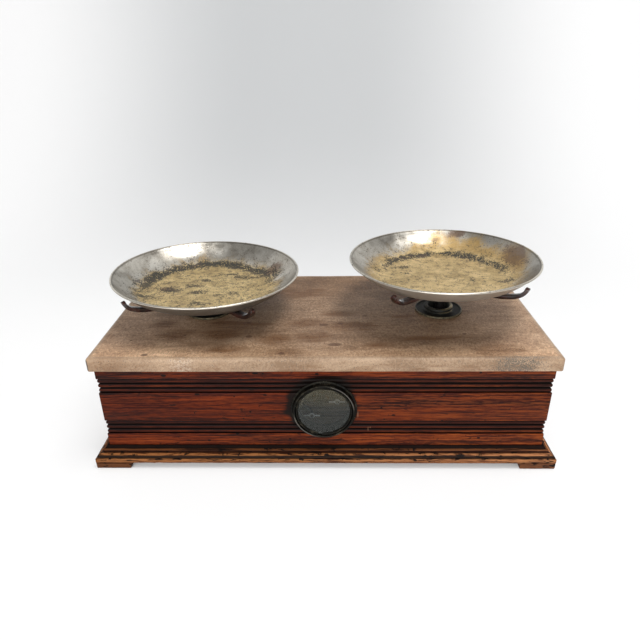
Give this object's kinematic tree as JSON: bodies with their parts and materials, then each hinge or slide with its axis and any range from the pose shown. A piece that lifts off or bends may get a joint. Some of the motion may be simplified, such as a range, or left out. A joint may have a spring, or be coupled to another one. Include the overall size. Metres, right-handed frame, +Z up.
{
  "type": "counter weighing scale",
  "caption": "Counter balance with round lift-off pans on a marble top over a reeded wooden case, whose lever mechanism keeps the pans level and moves pointers in a round window.",
  "frame": {"origin": "on the ground below the middle of the case", "axes": "+X to the right along the case, +Y to the back, +Z up; the window faces -Y"},
  "size_m": [0.568, 0.278, 0.2301],
  "materials": {
    "marble": "honed, worn",
    "walnut": "polished, worn",
    "worn_walnut": "worn through to the wood",
    "plain_wood": "bare",
    "nickelled_brass": "worn nickel plating",
    "dark_brass": "tarnished",
    "oxblood_paint": "gloss",
    "black_iron": "matt",
    "knife_steel": "ground",
    "pale_steel": "satin",
    "glass": "clear"
  },
  "bodies": {
    "case": {"marble_top": "marble", "case_front": "walnut", "case_back": "walnut", "case_left": "walnut", "case_right": "walnut", "base_moulding_front": "worn_walnut", "base_moulding_back": "worn_walnut", "base_moulding_left": "worn_walnut", "base_moulding_right": "worn_walnut", "bottom_board": "plain_wood", "foot_front_left": "worn_walnut", "foot_front_right": "worn_walnut", "foot_back_left": "worn_walnut", "foot_back_right": "worn_walnut", "left_collar": "dark_brass", "right_collar": "dark_brass", "window_bezel": "dark_brass", "window_retainer": "dark_brass", "window_glass": "glass", "bed_plate": "black_iron", "left_bed_screw": "pale_steel", "right_bed_screw": "pale_steel", "centre_stand": "black_iron", "front_centre_bearing": "knife_steel", "back_centre_bearing": "knife_steel", "left_fulcrum_stand": "black_iron", "right_fulcrum_stand": "black_iron", "left_fulcrum_bearing": "knife_steel", "right_fulcrum_bearing": "knife_steel"},
    "main_beam": {"main_beam": "black_iron", "centre_knife": "knife_steel", "left_end_knife": "knife_steel", "right_end_knife": "knife_steel", "left_beam_link_knife": "knife_steel", "right_beam_link_knife": "knife_steel"},
    "left_lever": {"left_lever": "black_iron", "left_fulcrum_knife": "knife_steel", "left_lever_link_knife": "knife_steel", "left_carrier_knife": "knife_steel", "left_index_arm": "black_iron", "left_index_plate": "pale_steel", "left_index_screw": "pale_steel"},
    "left_link": {"left_link": "black_iron"},
    "left_carrier": {"left_carrier": "black_iron", "left_stem_pin": "pale_steel", "left_pan_support": "oxblood_paint"},
    "left_pan": {"left_pan": "nickelled_brass"},
    "right_lever": {"right_lever": "black_iron", "right_fulcrum_knife": "knife_steel", "right_lever_link_knife": "knife_steel", "right_carrier_knife": "knife_steel", "right_index_arm": "black_iron", "right_index_plate": "pale_steel", "right_index_screw": "pale_steel"},
    "right_link": {"right_link": "black_iron"},
    "right_carrier": {"right_carrier": "black_iron", "right_stem_pin": "pale_steel", "right_pan_support": "oxblood_paint"},
    "right_pan": {"right_pan": "nickelled_brass"}
  },
  "joints": [
    {"name": "beam_tilt", "type": "hinge", "parent": "case", "child": "main_beam", "pos_m": [0, 0, 0.098], "axis": [0, 1, 0], "range_deg": [0, 4.32]},
    {"name": "left_lever_tilt", "type": "hinge", "parent": "case", "child": "left_lever", "pos_m": [-0.2, 0, 0.055], "axis": [0, 1, 0], "range_deg": [-6.44, 0]},
    {"name": "left_link_swing", "type": "hinge", "parent": "main_beam", "child": "left_link", "pos_m": [-0.11948, 0, 0.09349], "axis": [0, 1, 0], "range_deg": [-4.34, 0]},
    {"name": "left_carrier_swing", "type": "hinge", "parent": "main_beam", "child": "left_carrier", "pos_m": [-0.21984, 0, 0.0897], "axis": [0, 1, 0], "range_deg": [-4.34, 0]},
    {"name": "left_pan_lift", "type": "slide", "parent": "left_carrier", "child": "left_pan", "axis": [0, 0, 1], "range_m": [0, 0.08]},
    {"name": "right_lever_tilt", "type": "hinge", "parent": "case", "child": "right_lever", "pos_m": [0.2, 0, 0.055], "axis": [0, 1, 0], "range_deg": [-6.44, 0]},
    {"name": "right_link_swing", "type": "hinge", "parent": "main_beam", "child": "right_link", "pos_m": [0.11948, 0, 0.10251], "axis": [0, 1, 0], "range_deg": [-4.34, 0]},
    {"name": "right_carrier_swing", "type": "hinge", "parent": "main_beam", "child": "right_carrier", "pos_m": [0.21984, 0, 0.1063], "axis": [0, 1, 0], "range_deg": [-4.34, 0]},
    {"name": "right_pan_lift", "type": "slide", "parent": "right_carrier", "child": "right_pan", "axis": [0, 0, 1], "range_m": [0, 0.08]}
  ],
  "couplings": [
    {"joint": "left_lever_tilt", "follows": "beam_tilt", "ratio": -1.4865},
    {"joint": "left_link_swing", "follows": "beam_tilt", "ratio": -1},
    {"joint": "left_carrier_swing", "follows": "beam_tilt", "ratio": -1},
    {"joint": "right_lever_tilt", "follows": "beam_tilt", "ratio": -1.4865},
    {"joint": "right_link_swing", "follows": "beam_tilt", "ratio": -1},
    {"joint": "right_carrier_swing", "follows": "beam_tilt", "ratio": -1}
  ]
}
